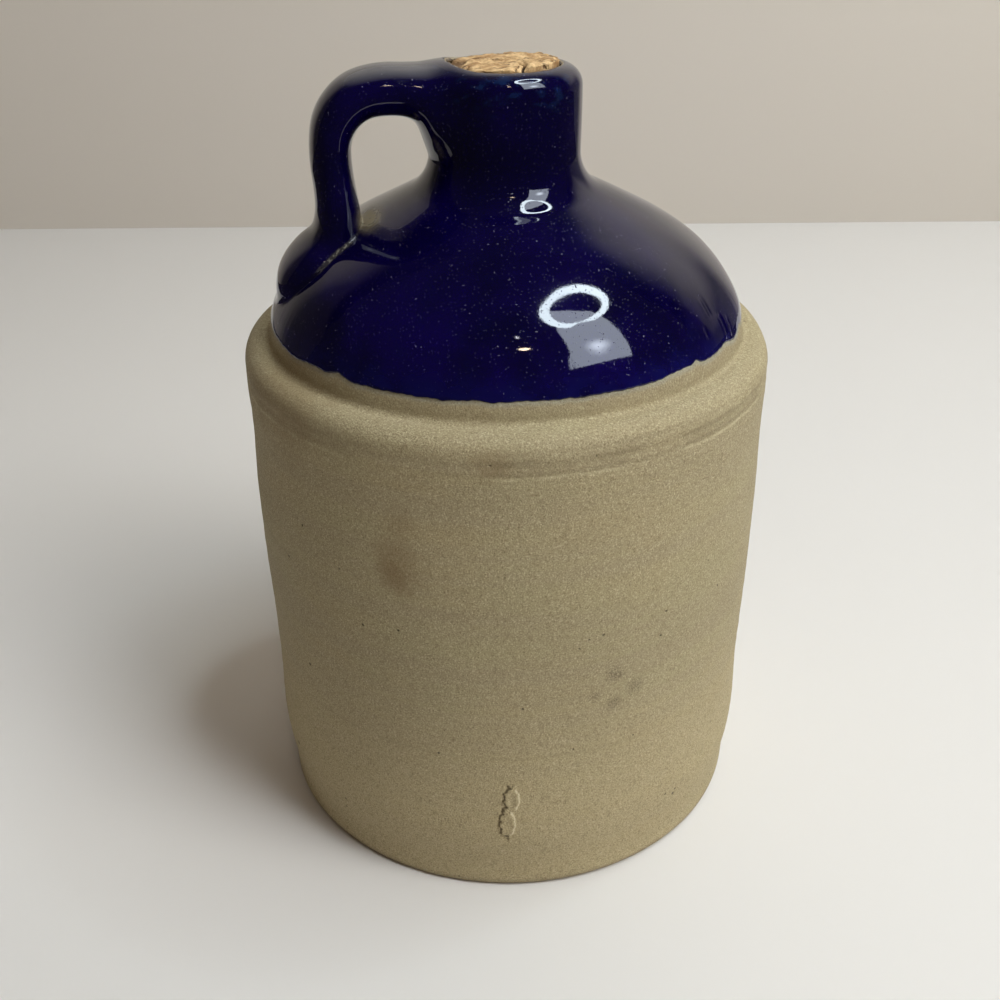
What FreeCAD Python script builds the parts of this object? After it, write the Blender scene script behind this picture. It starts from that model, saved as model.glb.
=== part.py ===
import FreeCAD, Part
import math
import os

# Half-gallon stoneware jug with a cork in its mouth.
# Millimetres, Z up, origin at the middle of the base, handle on the -X side.
# The jug is shut and cannot be seen into, so it is one solid with a socket
# for the cork; the cork is a second solid standing in that socket.

os.makedirs("parts", exist_ok=True)

V = FreeCAD.Vector

# ---------------------------------------------------------------- main sizes
WALL_R = 70.0              # straight wall of the pot, half its diameter
SHOULDER_Z = 140.9         # height of the shoulder step
DOME_H = 45.9              # from the shoulder step to the foot of the neck
NECK_H = 20.4              # from the foot of the neck to the mouth

FOOT_IN = 1.7              # the foot is drawn in this far under the wall
FOOT_ROUND = 2.0           # worn edge round the base
FOOT_H = 6.0               # straight part of the foot
# wall between the foot and the shoulder: share of the way up, inset from WALL_R
WALL_LINE = ((0.077, 0.50), (0.24, 0.15), (0.50, 0.0), (0.74, -0.15), (0.915, 0.35),
             (0.965, 0.20))
SHOULDER_ROUND = 5.5       # rounded edge of the shoulder
SHOULDER_IN = 0.3          # the wall draws in this much under that edge
STEP_FLAT = 0.1            # narrow flat between that edge and the dome's foot

DOME_FOOT_RISE = 1.3       # height of the hollow round at the dome's foot
DOME_FOOT_LEAN = 8.3       # degrees inward from upright at the foot
DOME_FULLNESS_LOW = 20.7   # how far the dome holds its foot's direction
DOME_FULLNESS_HIGH = 16.4  # and its top's
DOME_TOP_SLOPE = 29.2      # degrees from level where the dome meets the flare

NECK_R = 19.05             # outside of the neck
NECK_FLARE = 11.0          # hollow round between the dome and the neck
NECK_WALL = 5.4            # clay between the neck's outside and the mouth
MOUTH_ROUND = 0.4          # small rounding inside the lip
LIP_ROUND = 4.9            # outer rounding of the lip
LIP_FLAT = 0.05            # least flat left between those two

CORK_DEPTH = 20.0          # length of cork below the mouth
CORK_TAPER = 2.5           # degrees a side
CORK_CLEAR = 0.1           # gap round the cork
CORK_RISE = 0.9            # cork above the mouth, on the axis
CORK_TILT = 2.5            # degrees the cut top leans
CORK_TILT_DIR = -30.0      # bearing of the high side of the cut top
CORK_FOOT_ROUND = 0.8      # broken edge round the hidden end

FINGER_GAP = 19.05         # from the neck to the inner face of the handle's leg
ARM_THICK = 11.7           # handle, upper arm, top to underside
ARM_ABOVE_MOUTH = 0.9      # the arm's top over the mouth
LEG_THICK = 10.3           # handle, upright leg, inner to outer face
LEG_LEAN = 0.6             # the leg comes in this much on its way down
LEG_STAND = 8.5            # the leg ends this far above the dome
HANDLE_WIDE = 20.5         # handle across
BEND_R = 13.0              # bend between the arm and the leg, on its middle line
BEND_STEPS = 4             # sections after the first in that bend
ROOT_FLARE = 8.0           # the arm deepens by this much against the neck
ROOT_WIDEN = 3.5           # and widens by this much
ROOT_IN = 4.75             # the arm starts this deep in the neck's wall
TAIL_WIDE = 27.0           # pressed-out tail on the dome, across
TAIL_PROUD = 5.0           # the tail stands this far off the dome
TAIL_RUN = 17.0            # the tail's reach outward past the leg
TAIL_SHORT = 2.2           # it stays at least this far in from the dome's foot
SECTION_POWER = 2.8        # 2 is an ellipse, larger is squarer
SECTION_POINTS = 24

# arm beside the neck: distance from the neck, share of the flare, share of the
# rise over the mouth
ARM_ROOT = ((-ROOT_IN, 1.0, 0.4), (0.6, 0.75, 1.0), (2.8, 0.30, 1.0), (5.6, 0.07, 1.0))
# tail: share of its run, share of TAIL_PROUD, thickness, share of TAIL_WIDE, and how
# far it has turned to run down the dome
TAIL_LINE = ((0.10, 1.10, 12.4, 0.86, 0.55), (0.34, 0.94, 12.0, 0.98, 0.95),
             (0.60, 0.86, 11.0, 0.94, 1.0), (0.80, 0.60, 9.5, 0.78, 1.0),
             (0.92, 0.20, 8.0, 0.62, 1.0), (1.00, -0.20, 6.5, 0.48, 1.0))

# ------------------------------------------------------------ what follows from them
FOOT_R = WALL_R - FOOT_IN
NECK_FOOT_Z = SHOULDER_Z + DOME_H
MOUTH_Z = NECK_FOOT_Z + NECK_H
MOUTH_R = NECK_R - NECK_WALL
LIP_R = min(LIP_ROUND, NECK_WALL - MOUTH_ROUND - LIP_FLAT)
LEG_X = NECK_R + FINGER_GAP + LEG_THICK / 2.0      # middle of the leg


def polar(cx, cz, r, deg):
    a = math.radians(deg)
    return V(cx + r * math.cos(a), 0, cz + r * math.sin(a))


def arc(cx, cz, r, a0, a1):
    """Arc in the XZ plane about (cx, cz), from bearing a0 to a1 in degrees."""
    return Part.Arc(polar(cx, cz, r, a0), polar(cx, cz, r, 0.5 * (a0 + a1)),
                    polar(cx, cz, r, a1)).toShape()


def line(p, q):
    return Part.LineSegment(p, q).toShape()


# ------------------------------------------------------------ outline of the dome
# the dome stands on the shoulder step, just inside the rounded edge
FOOT_TURN = math.radians(90.0 - DOME_FOOT_LEAN)
DOME_FOOT_ROUND = DOME_FOOT_RISE / (1.0 - math.cos(FOOT_TURN))
STEP_X = WALL_R - SHOULDER_IN - SHOULDER_ROUND
DOME_FOOT_R = STEP_X - STEP_FLAT - DOME_FOOT_ROUND * math.sin(FOOT_TURN)
DOME_FOOT_Z = SHOULDER_Z + DOME_FOOT_RISE
FLARE_X = NECK_R + NECK_FLARE          # centre of the hollow flare
FLARE_END = 270.0 - DOME_TOP_SLOPE     # its bearing where the dome begins

d0 = V(DOME_FOOT_R, 0, DOME_FOOT_Z)
d3 = polar(FLARE_X, NECK_FOOT_Z, NECK_FLARE, FLARE_END)
d1 = d0 + V(-math.sin(math.radians(DOME_FOOT_LEAN)), 0,
            math.cos(math.radians(DOME_FOOT_LEAN))) * DOME_FULLNESS_LOW
d2 = d3 + V(math.cos(math.radians(DOME_TOP_SLOPE)), 0,
            -math.sin(math.radians(DOME_TOP_SLOPE))) * DOME_FULLNESS_HIGH


def dome_at(t):
    """Point of the dome's outline, t = 0 at its foot and 1 at the flare."""
    s = 1.0 - t
    return d0 * (s ** 3) + d1 * (3 * s * s * t) + d2 * (3 * s * t * t) + d3 * (t ** 3)


def dome_slope(t):
    """Unit vector along the outline, pointing outward and down."""
    s = 1.0 - t
    v = (d1 - d0) * (3 * s * s) + (d2 - d1) * (6 * s * t) + (d3 - d2) * (3 * t * t)
    v = v * -1.0
    v.normalize()
    return v


def dome_t(r):
    """Place on the outline at distance r from the axis."""
    lo, hi = 0.0, 1.0
    for _ in range(40):
        mid = 0.5 * (lo + hi)
        if dome_at(mid).x > r:
            lo = mid
        else:
            hi = mid
    return 0.5 * (lo + hi)


# -------------------------------------------------------------- cork's socket
CORK_FOOT_Z = MOUTH_Z - CORK_DEPTH


def cork_radius(z, clear):
    """Half diameter of the cork (clear = 0) or of its socket at height z."""
    at_rim = MOUTH_R - CORK_CLEAR
    return at_rim + (z - MOUTH_Z) * math.tan(math.radians(CORK_TAPER)) + clear


# -------------------------------------------------------------- body and neck
def turned(wire):
    return Part.Face(wire).revolve(V(0, 0, 0), V(0, 0, 1), 360)


def wall_curve():
    """Outer wall from the top of the foot to the shoulder's rounding."""
    top = SHOULDER_Z - SHOULDER_ROUND
    pts = [V(FOOT_R, 0, FOOT_H)]
    for share, inset in WALL_LINE:
        pts.append(V(WALL_R - inset, 0, FOOT_H + share * (top - FOOT_H)))
    pts.append(V(WALL_R - SHOULDER_IN, 0, top))
    c = Part.BSplineCurve()
    c.interpolate(Points=pts, InitialTangent=V(0, 0, 1), FinalTangent=V(0, 0, 1))
    return c.toShape()


def socket_edges():
    """Side of the cork's socket, from the axis up to the top of the mouth."""
    foot = V(cork_radius(CORK_FOOT_Z, CORK_CLEAR), 0, CORK_FOOT_Z)
    lip = V(cork_radius(MOUTH_Z - MOUTH_ROUND, CORK_CLEAR), 0, MOUTH_Z - MOUTH_ROUND)
    crest = V(lip.x + MOUTH_ROUND, 0, MOUTH_Z)
    return crest, [line(V(0, 0, CORK_FOOT_Z), foot), line(foot, lip),
                   arc(crest.x, lip.z, MOUTH_ROUND, 180, 90)]


def socket():
    """The socket as a solid, carried on upward to clear what crosses the mouth."""
    crest, edges = socket_edges()
    over = V(crest.x, 0, MOUTH_Z + 2.0 * ARM_THICK)
    edges.append(line(crest, over))
    edges.append(line(over, V(0, 0, over.z)))
    edges.append(line(V(0, 0, over.z), V(0, 0, CORK_FOOT_Z)))
    return turned(Part.Wire(edges))


def pot_outline():
    """Closed half outline of the jug with its socket and without its handle."""
    crest, mouth = socket_edges()
    edges = []
    edges.append(line(V(0, 0, 0), V(FOOT_R - FOOT_ROUND, 0, 0)))
    edges.append(arc(FOOT_R - FOOT_ROUND, FOOT_ROUND, FOOT_ROUND, -90, 0))
    edges.append(line(V(FOOT_R, 0, FOOT_ROUND), V(FOOT_R, 0, FOOT_H)))
    edges.append(wall_curve())
    edges.append(arc(STEP_X, SHOULDER_Z - SHOULDER_ROUND, SHOULDER_ROUND, 0, 90))
    # narrow step, then the small hollow round at the foot of the dome
    edges.append(line(V(STEP_X, 0, SHOULDER_Z), V(STEP_X - STEP_FLAT, 0, SHOULDER_Z)))
    edges.append(arc(STEP_X - STEP_FLAT, SHOULDER_Z + DOME_FOOT_ROUND, DOME_FOOT_ROUND,
                     270, 270 - math.degrees(FOOT_TURN)))
    dome = Part.BezierCurve()
    dome.setPoles([d0, d1, d2, d3])
    edges.append(dome.toShape())
    edges.append(arc(FLARE_X, NECK_FOOT_Z, NECK_FLARE, FLARE_END, 180))
    neck_top = V(NECK_R, 0, MOUTH_Z - LIP_R)
    edges.append(line(V(NECK_R, 0, NECK_FOOT_Z), neck_top))
    edges.append(arc(NECK_R - LIP_R, MOUTH_Z - LIP_R, LIP_R, 0, 90))
    edges.append(line(V(NECK_R - LIP_R, 0, MOUTH_Z), crest))
    edges.extend(reversed(mouth))
    edges.append(line(V(0, 0, CORK_FOOT_Z), V(0, 0, 0)))
    return Part.Wire(edges)


# --------------------------------------------------------------------- handle
def section(out, up, heading, thick, wide):
    """Closed rounded-oval wire across the handle.

    out, up : middle of the section, distance from the axis and height
    heading : direction the handle runs there, degrees up from straight out
    thick   : size in the handle's own plane;  wide : size across it
    """
    h = math.radians(heading)
    side = V(-math.sin(h), 0, math.cos(h))       # in the handle's plane
    pts = []
    for i in range(SECTION_POINTS):
        a = 2.0 * math.pi * i / SECTION_POINTS
        c, s = math.cos(a), math.sin(a)
        u = math.copysign(abs(c) ** (2.0 / SECTION_POWER), c) * thick / 2.0
        w = math.copysign(abs(s) ** (2.0 / SECTION_POWER), s) * wide / 2.0
        p = V(out, 0, up) + side * u
        pts.append(V(-p.x, w, p.z))
    c = Part.BSplineCurve()
    c.interpolate(Points=pts, PeriodicFlag=True)
    return Part.Wire(c.toShape())


def handle():
    rows = []
    # arm: starts in the neck's wall and is deepest there
    for past, flare, rise in ARM_ROOT:
        thick = ARM_THICK + ROOT_FLARE * flare
        up = MOUTH_Z + ARM_ABOVE_MOUTH * rise - thick / 2.0
        rows.append((NECK_R + past, up, 0.0, thick, HANDLE_WIDE + ROOT_WIDEN * flare))
    # bend, from the arm's direction to straight down
    bend_x = LEG_X - BEND_R
    bend_z = MOUTH_Z + ARM_ABOVE_MOUTH - ARM_THICK / 2.0 - BEND_R
    for k in range(BEND_STEPS + 1):
        share = k / BEND_STEPS
        p = polar(bend_x, bend_z, BEND_R, 90.0 * (1.0 - share))
        thick = ARM_THICK + (LEG_THICK - ARM_THICK) * share
        rows.append((p.x, p.z, -90.0 * share, thick, HANDLE_WIDE))
    # leg, coming in a little on its way down to the dome
    leg_end = dome_at(dome_t(LEG_X)).z + LEG_STAND
    rows.append((LEG_X - LEG_LEAN / 3.0, 0.45 * bend_z + 0.55 * leg_end, -92.0,
                 LEG_THICK, HANDLE_WIDE))
    rows.append((LEG_X - LEG_LEAN, leg_end, -90.0, LEG_THICK + 0.5, HANDLE_WIDE + 0.8))
    # tail: turns outward and runs down the dome, dying into it at its end
    run = min(TAIL_RUN, DOME_FOOT_R - TAIL_SHORT - LEG_X)
    for share, proud, thick, wide, turn in TAIL_LINE:
        t = dome_t(LEG_X + run * share)
        along = dome_slope(t)
        outward = V(-along.z, 0, along.x)
        m = dome_at(t) + outward * (TAIL_PROUD * proud - thick / 2.0)
        down = 90.0 + math.degrees(math.atan2(along.z, along.x))
        rows.append((m.x, m.z, -90.0 + down * turn, thick, TAIL_WIDE * wide))
    return Part.makeLoft([section(*row) for row in rows], True, False)


# ----------------------------------------------------------------------- cork
def cork():
    over = MOUTH_Z + MOUTH_R
    foot_r = cork_radius(CORK_FOOT_Z, 0.0)
    up = CORK_FOOT_Z + CORK_FOOT_ROUND
    edges = [line(V(0, 0, CORK_FOOT_Z), V(foot_r - CORK_FOOT_ROUND, 0, CORK_FOOT_Z)),
             line(V(foot_r - CORK_FOOT_ROUND, 0, CORK_FOOT_Z), V(cork_radius(up, 0.0), 0, up)),
             line(V(cork_radius(up, 0.0), 0, up), V(cork_radius(over, 0.0), 0, over)),
             line(V(cork_radius(over, 0.0), 0, over), V(0, 0, over)),
             line(V(0, 0, over), V(0, 0, CORK_FOOT_Z))]
    body = turned(Part.Wire(edges))
    # the cut top leans: take away everything above a tilted plane
    size = 6.0 * MOUTH_R                         # a block well past the cork
    knife = Part.makeBox(size, size, size, V(-size / 2.0, -size / 2.0, 0))
    b = math.radians(CORK_TILT_DIR)
    knife.rotate(V(0, 0, 0), V(math.sin(b), -math.cos(b), 0), CORK_TILT)
    knife.translate(V(0, 0, MOUTH_Z + CORK_RISE))
    return body.cut(knife)


# ---------------------------------------------------------------------- write
nodes = {"jug": turned(pot_outline()).fuse(handle().cut(socket())),
         "cork": cork()}

for name, shape in nodes.items():
    if len(shape.Solids) != 1 or not shape.isValid():
        raise ValueError(name + " is not one valid solid")
    solid = shape.Solids[0]
    solid.exportStep("parts/" + name + ".step")
    print(name, "%.1f cm3" % (solid.Volume / 1000.0))
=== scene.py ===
import math

import bmesh
import bpy
import numpy as np
from mathutils import Matrix, Vector
from mathutils.bvhtree import BVHTree


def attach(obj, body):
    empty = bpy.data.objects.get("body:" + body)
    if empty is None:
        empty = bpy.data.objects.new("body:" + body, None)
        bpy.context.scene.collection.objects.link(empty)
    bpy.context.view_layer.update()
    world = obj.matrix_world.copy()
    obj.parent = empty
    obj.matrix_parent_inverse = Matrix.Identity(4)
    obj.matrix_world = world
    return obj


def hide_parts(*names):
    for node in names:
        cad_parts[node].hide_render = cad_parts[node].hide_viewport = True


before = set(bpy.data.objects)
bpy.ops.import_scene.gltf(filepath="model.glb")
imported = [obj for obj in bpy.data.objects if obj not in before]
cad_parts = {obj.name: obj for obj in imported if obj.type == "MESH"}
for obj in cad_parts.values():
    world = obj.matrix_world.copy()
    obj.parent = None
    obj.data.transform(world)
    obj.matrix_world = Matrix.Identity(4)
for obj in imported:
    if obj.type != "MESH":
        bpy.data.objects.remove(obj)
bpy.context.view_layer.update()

# Stoneware jug: bare clay body, blue glazed top and handle, cork in the mouth.
# Shapes are worked out in millimetres in the CAD frame and stored in metres.
# A bearing is an angle round the jug in degrees: 0 along +X, -90 towards the front.
MM = 0.001
rng = np.random.default_rng(7)

# ---------------------------------------------------------------- camera
FIT_TURN = math.radians(-10.0)       # the camera stands this far round from -Y
CAM_DIST, CAM_UP = 0.305473, 0.263517
CAM_PITCH, CAM_YAW, CAM_ROLL = 0.529005, -0.0067126, -0.010203
CAM_SENSOR, CAM_LENS = 36.0, 43.538


def add_camera():
    cp, sp = math.cos(CAM_PITCH), math.sin(CAM_PITCH)
    ahead = Vector((math.sin(CAM_YAW) * cp, math.cos(CAM_YAW) * cp, -sp))
    right = ahead.cross(Vector((0, 0, 1))).normalized()
    up = right.cross(ahead)
    c, s = math.cos(CAM_ROLL), math.sin(CAM_ROLL)
    right, up = c * right + s * up, -s * right + c * up
    m = Matrix((right, up, -ahead)).transposed().to_4x4()
    m.translation = (0, -CAM_DIST, CAM_UP)
    data = bpy.data.cameras.new("camera")
    data.sensor_width, data.lens = CAM_SENSOR, CAM_LENS
    cam = bpy.data.objects.new("camera", data)
    bpy.context.scene.collection.objects.link(cam)
    cam.matrix_world = Matrix.Rotation(FIT_TURN, 4, "Z") @ m
    bpy.context.scene.camera = cam


add_camera()

# ---------------------------------------------------------------- CAD sizes, as in the frame
WALL_R, SHOULDER_Z, DOME_H, NECK_H = 70.0, 140.9, 45.9, 20.4
FOOT_IN, FOOT_ROUND, FOOT_H = 1.7, 2.0, 6.0
WALL_LINE = ((0.077, 0.50), (0.24, 0.15), (0.50, 0.0), (0.74, -0.15), (0.915, 0.35),
             (0.965, 0.20))
SHOULDER_ROUND, SHOULDER_IN, STEP_FLAT = 5.5, 0.3, 0.1
DOME_FOOT_RISE, DOME_FOOT_LEAN, DOME_TOP_SLOPE = 1.3, 8.3, 29.2
DOME_FULLNESS_LOW, DOME_FULLNESS_HIGH = 20.7, 16.4
NECK_R, NECK_FLARE, MOUTH_R, LIP_R = 19.05, 11.0, 13.65, 4.9
FINGER_GAP, ARM_THICK, ARM_ABOVE_MOUTH = 19.05, 11.7, 0.9
LEG_THICK, LEG_LEAN, LEG_STAND, HANDLE_WIDE = 10.3, 0.6, 8.5, 20.5
BEND_R, BEND_STEPS, ROOT_FLARE, ROOT_WIDEN, ROOT_IN = 13.0, 4, 8.0, 3.5, 4.75
TAIL_WIDE, TAIL_PROUD, TAIL_RUN, SECTION_POWER = 27.0, 5.0, 17.0, 2.25
ARM_ROOT = ((-ROOT_IN, 1.0, 0.4), (0.6, 0.75, 1.0), (2.8, 0.30, 1.0), (5.6, 0.07, 1.0))
TAIL_LINE = ((0.10, 1.10, 12.4, 0.86, 0.55), (0.34, 0.94, 12.0, 0.98, 0.95),
             (0.60, 0.86, 11.0, 0.94, 1.0), (0.80, 0.60, 9.5, 0.78, 1.0),
             (0.92, 0.20, 8.0, 0.62, 1.0), (1.00, -0.20, 6.5, 0.48, 1.0))
BURIED_TAIL = (1.09, -0.85, 6.0, 0.42, 1.0)   # hidden end of the tail, inside the dome
CORK_DEPTH, CORK_TAPER = 20.0, 2.5

FOOT_R = WALL_R - FOOT_IN
NECK_FOOT_Z = SHOULDER_Z + DOME_H
MOUTH_Z = NECK_FOOT_Z + NECK_H
LEG_X = NECK_R + FINGER_GAP + LEG_THICK / 2
FOOT_TURN = math.radians(90 - DOME_FOOT_LEAN)
DOME_FOOT_ROUND = DOME_FOOT_RISE / (1 - math.cos(FOOT_TURN))
STEP_X = WALL_R - SHOULDER_IN - SHOULDER_ROUND
DOME_FOOT_R = STEP_X - STEP_FLAT - DOME_FOOT_ROUND * math.sin(FOOT_TURN)
DOME_FOOT_Z = SHOULDER_Z + DOME_FOOT_RISE
FLARE_X = NECK_R + NECK_FLARE
DOME_STEPS = 420                     # points along the dome's curve
BURIED = 4.0                         # depth of the outline's start under the dome's foot


def unit(v):
    return v / np.maximum(np.linalg.norm(v, axis=-1, keepdims=True), 1e-12)


def smooth(a, b, x):
    """0 below a, 1 above b, smooth between."""
    t = np.clip((x - a) / (b - a), 0, 1)
    return t * t * (3 - 2 * t)


def arc_points(cx, cz, r, a0, a1, n):
    a = np.radians(np.linspace(a0, a1, n))
    return np.stack([cx + r * np.cos(a), cz + r * np.sin(a)], 1)


d0 = np.array([DOME_FOOT_R, DOME_FOOT_Z])
d3 = arc_points(FLARE_X, NECK_FOOT_Z, NECK_FLARE, 270 - DOME_TOP_SLOPE, 0, 2)[0]
lean, slope = math.radians(DOME_FOOT_LEAN), math.radians(DOME_TOP_SLOPE)
d1 = d0 + np.array([-math.sin(lean), math.cos(lean)]) * DOME_FULLNESS_LOW
d2 = d3 + np.array([math.cos(slope), -math.sin(slope)]) * DOME_FULLNESS_HIGH


def dome_at(t):
    t = np.atleast_1d(t)[:, None]
    s = 1 - t
    return d0 * s ** 3 + d1 * 3 * s * s * t + d2 * 3 * s * t * t + d3 * t ** 3


def dome_t(r):
    lo, hi = 0.0, 1.0
    for _ in range(40):
        mid = (lo + hi) / 2
        lo, hi = (mid, hi) if dome_at(mid)[0, 0] > r else (lo, mid)
    return (lo + hi) / 2


def run_length(pts):
    """Length along a row of points, up to each of them."""
    return np.concatenate([[0], np.cumsum(np.linalg.norm(np.diff(pts, axis=0), axis=1))])


def swept(profile, ring):
    """Rows of an (r, z) profile carried round a ring of directions."""
    shape = (len(profile), len(ring), 1)
    return np.concatenate([profile[:, None, :1] * ring[None],
                           np.broadcast_to(profile[:, None, 1:], shape)], 2).reshape(-1, 3)


def directions(bearings):
    return np.stack([np.cos(np.radians(bearings)), np.sin(np.radians(bearings))], 1)


def outline_normals(pts):
    """Outward normals of an outline that runs upward with the solid on its left."""
    d = np.gradient(pts, axis=0)
    return unit(np.stack([d[:, 1], -d[:, 0]], 1))


def outer_outline():
    """Outline of the glazed part without its bore, from inside the dome's foot to the axis."""
    low = np.linspace(d0 + [0.6, -BURIED], d0, 12)[:-1]
    dome = dome_at(np.linspace(0, 1, DOME_STEPS))
    flare = arc_points(FLARE_X, NECK_FOOT_Z, NECK_FLARE, 270 - DOME_TOP_SLOPE, 180, 70)[1:]
    top_z = MOUTH_Z - LIP_R
    neck = np.stack([np.full(60, NECK_R), np.linspace(NECK_FOOT_Z, top_z, 61)[1:]], 1)
    lip = arc_points(NECK_R - LIP_R, top_z, LIP_R, 0, 90, 60)[1:]
    flat = np.stack([np.linspace(NECK_R - LIP_R, 0, 40)[1:], np.full(39, MOUTH_Z)], 1)
    pts = np.concatenate([low, dome, flare, neck, lip, flat])
    return pts, outline_normals(pts)


OUTLINE, OUTLINE_N = outer_outline()


# ---------------------------------------------------------------- handle as a lofted grid
def handle_stations(root_in):
    rows = []
    for past, flare, rise in ARM_ROOT:
        past = -root_in if past < 0 else past
        thick = ARM_THICK + ROOT_FLARE * flare
        rows.append((NECK_R + past, MOUTH_Z + ARM_ABOVE_MOUTH * rise - thick / 2, 0.0,
                     thick, HANDLE_WIDE + ROOT_WIDEN * flare))
    bend_x = LEG_X - BEND_R
    bend_z = MOUTH_Z + ARM_ABOVE_MOUTH - ARM_THICK / 2 - BEND_R
    for k in range(BEND_STEPS + 1):
        share = k / BEND_STEPS
        p = arc_points(bend_x, bend_z, BEND_R, 90 * (1 - share), 0, 2)[0]
        rows.append((p[0], p[1], -90 * share, ARM_THICK + (LEG_THICK - ARM_THICK) * share,
                     HANDLE_WIDE))
    leg_end = dome_at(dome_t(LEG_X))[0, 1] + LEG_STAND
    rows.append((LEG_X - LEG_LEAN / 3, 0.45 * bend_z + 0.55 * leg_end, -92.0, LEG_THICK,
                 HANDLE_WIDE))
    rows.append((LEG_X - LEG_LEAN, leg_end, -90.0, LEG_THICK + 0.5, HANDLE_WIDE + 0.8))
    for share, proud, thick, wide, turn in TAIL_LINE + (BURIED_TAIL,):
        t = dome_t(LEG_X + TAIL_RUN * share)
        ends = dome_at([t + 1e-4, t - 1e-4])
        along = unit(ends[1] - ends[0])
        m = dome_at(t)[0] + np.array([-along[1], along[0]]) * (TAIL_PROUD * proud - thick / 2)
        down = 90 + math.degrees(math.atan2(along[1], along[0]))
        rows.append((m[0], m[1], -90 + down * turn, thick, TAIL_WIDE * wide))
    return rows


def spline_rows(u, rows, fine, level_ends=False):
    """Cubic spline through rows (n, ...) at places u, read at fine: natural, or level at both
    ends."""
    n = len(u)
    h = np.diff(u)
    a = np.zeros((n, n))
    flat = rows.reshape(n, -1)
    rhs = np.zeros_like(flat)
    for i in range(1, n - 1):
        a[i, i - 1], a[i, i], a[i, i + 1] = h[i - 1], 2 * (h[i - 1] + h[i]), h[i]
        rhs[i] = 6 * ((flat[i + 1] - flat[i]) / h[i] - (flat[i] - flat[i - 1]) / h[i - 1])
    if level_ends:
        a[0, 0], a[0, 1], a[-1, -1], a[-1, -2] = 2 * h[0], h[0], 2 * h[-1], h[-1]
        rhs[0], rhs[-1] = 6 * (flat[1] - flat[0]) / h[0], -6 * (flat[-1] - flat[-2]) / h[-1]
    else:
        a[0, 0] = a[-1, -1] = 1
    m = np.linalg.solve(a, rhs)
    k = np.clip(np.searchsorted(u, fine) - 1, 0, n - 2)
    t, hk = (fine - u[k])[:, None], h[k][:, None]
    b = (flat[k + 1] - flat[k]) / hk - hk * (2 * m[k] + m[k + 1]) / 6
    out = flat[k] + b * t + m[k] / 2 * t ** 2 + (m[k + 1] - m[k]) / (6 * hk) * t ** 3
    return out.reshape((len(fine),) + rows.shape[1:])


def handle_grid(root_in, across=72, step=0.6):
    """Points (rows, across, 3) of the handle's skin, root first."""
    rows = handle_stations(root_in)
    a = 2 * np.pi * np.arange(across) / across
    power = 2 / SECTION_POWER
    cu, cw = (np.sign(w) * np.abs(w) ** power / 2 for w in (np.cos(a), np.sin(a)))
    sections, mids = [], []
    for out, up, heading, thick, wide in rows:
        h = math.radians(heading)
        sections.append(np.stack([-(out - math.sin(h) * cu * thick), cw * wide,
                                  up + math.cos(h) * cu * thick], 1))
        mids.append((out, up))
    u = run_length(np.array(mids))
    fine = np.linspace(0, u[-1], int(u[-1] / step) + 1)
    return spline_rows(u, np.array(sections), fine)


def grid_faces(n, m):
    """Quads of an n x m grid whose rows close on themselves."""
    i, j = np.meshgrid(np.arange(n - 1), np.arange(m), indexing="ij")
    k = (j + 1) % m
    return np.stack([i * m + j, i * m + k, (i + 1) * m + k, (i + 1) * m + j],
                    -1).reshape(-1, 4)


def capped_faces(n, m):
    """The same with both ends closed by fans round the two points that follow the grid."""
    faces = grid_faces(n, m).tolist()
    low, high, top = n * m, n * m + 1, (n - 1) * m
    for j in range(m):
        k = (j + 1) % m
        faces += [[low, k, j], [high, top + j, top + k]]
    return faces


class HandleSkin:
    """Distance to the handle's skin and the way out of it."""

    REACH = 7.0                      # the field is worked out this far off the skin
    FAR = 50.0                       # and is this further away

    def __init__(self):
        grid = handle_grid(ROOT_IN + 4.0)
        n, m = grid.shape[:2]
        along = np.gradient(grid, axis=0)
        around = (np.roll(grid, -1, 1) - np.roll(grid, 1, 1)) / 2
        nrm = unit(np.cross(around, along)).reshape(-1, 3)
        pts = grid.reshape(-1, 3)
        quads = grid_faces(n, m)
        tris = np.concatenate([quads[:, [0, 1, 2]], quads[:, [0, 2, 3]]])
        if np.mean(np.sum(nrm * (pts - grid.mean(1).repeat(m, 0)), 1)) < 0:
            nrm = -nrm
        self.pts, self.nrm, self.tris = pts, nrm, tris
        self.tree = BVHTree.FromPolygons(pts.tolist(), tris.tolist())
        self.low, self.high = pts.min(0) - self.REACH, pts.max(0) + self.REACH

    def field(self, p):
        val = np.full(len(p), self.FAR)
        grad = np.tile([0.0, 0.0, 1.0], (len(p), 1))
        near = np.nonzero(np.all((p > self.low) & (p < self.high), 1))[0]
        if not len(near):
            return val, grad
        hits = [self.tree.find_nearest(q) for q in p[near].tolist()]
        at = np.array([h[0] for h in hits])
        face = self.tris[[h[2] for h in hits]]
        a, b, c = (self.pts[face[:, i]] for i in range(3))
        v0, v1, v2 = b - a, c - a, at - a
        d00, d01, d11 = (v0 * v0).sum(1), (v0 * v1).sum(1), (v1 * v1).sum(1)
        d20, d21 = (v2 * v0).sum(1), (v2 * v1).sum(1)
        den = np.maximum(d00 * d11 - d01 * d01, 1e-12)
        wb = (d11 * d20 - d01 * d21) / den
        wc = (d00 * d21 - d01 * d20) / den
        n = unit(self.nrm[face[:, 0]] * (1 - wb - wc)[:, None]
                 + self.nrm[face[:, 1]] * wb[:, None] + self.nrm[face[:, 2]] * wc[:, None])
        val[near] = ((p[near] - at) * n).sum(1)
        grad[near] = n
        return val, grad


SKIN = HandleSkin()


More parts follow.
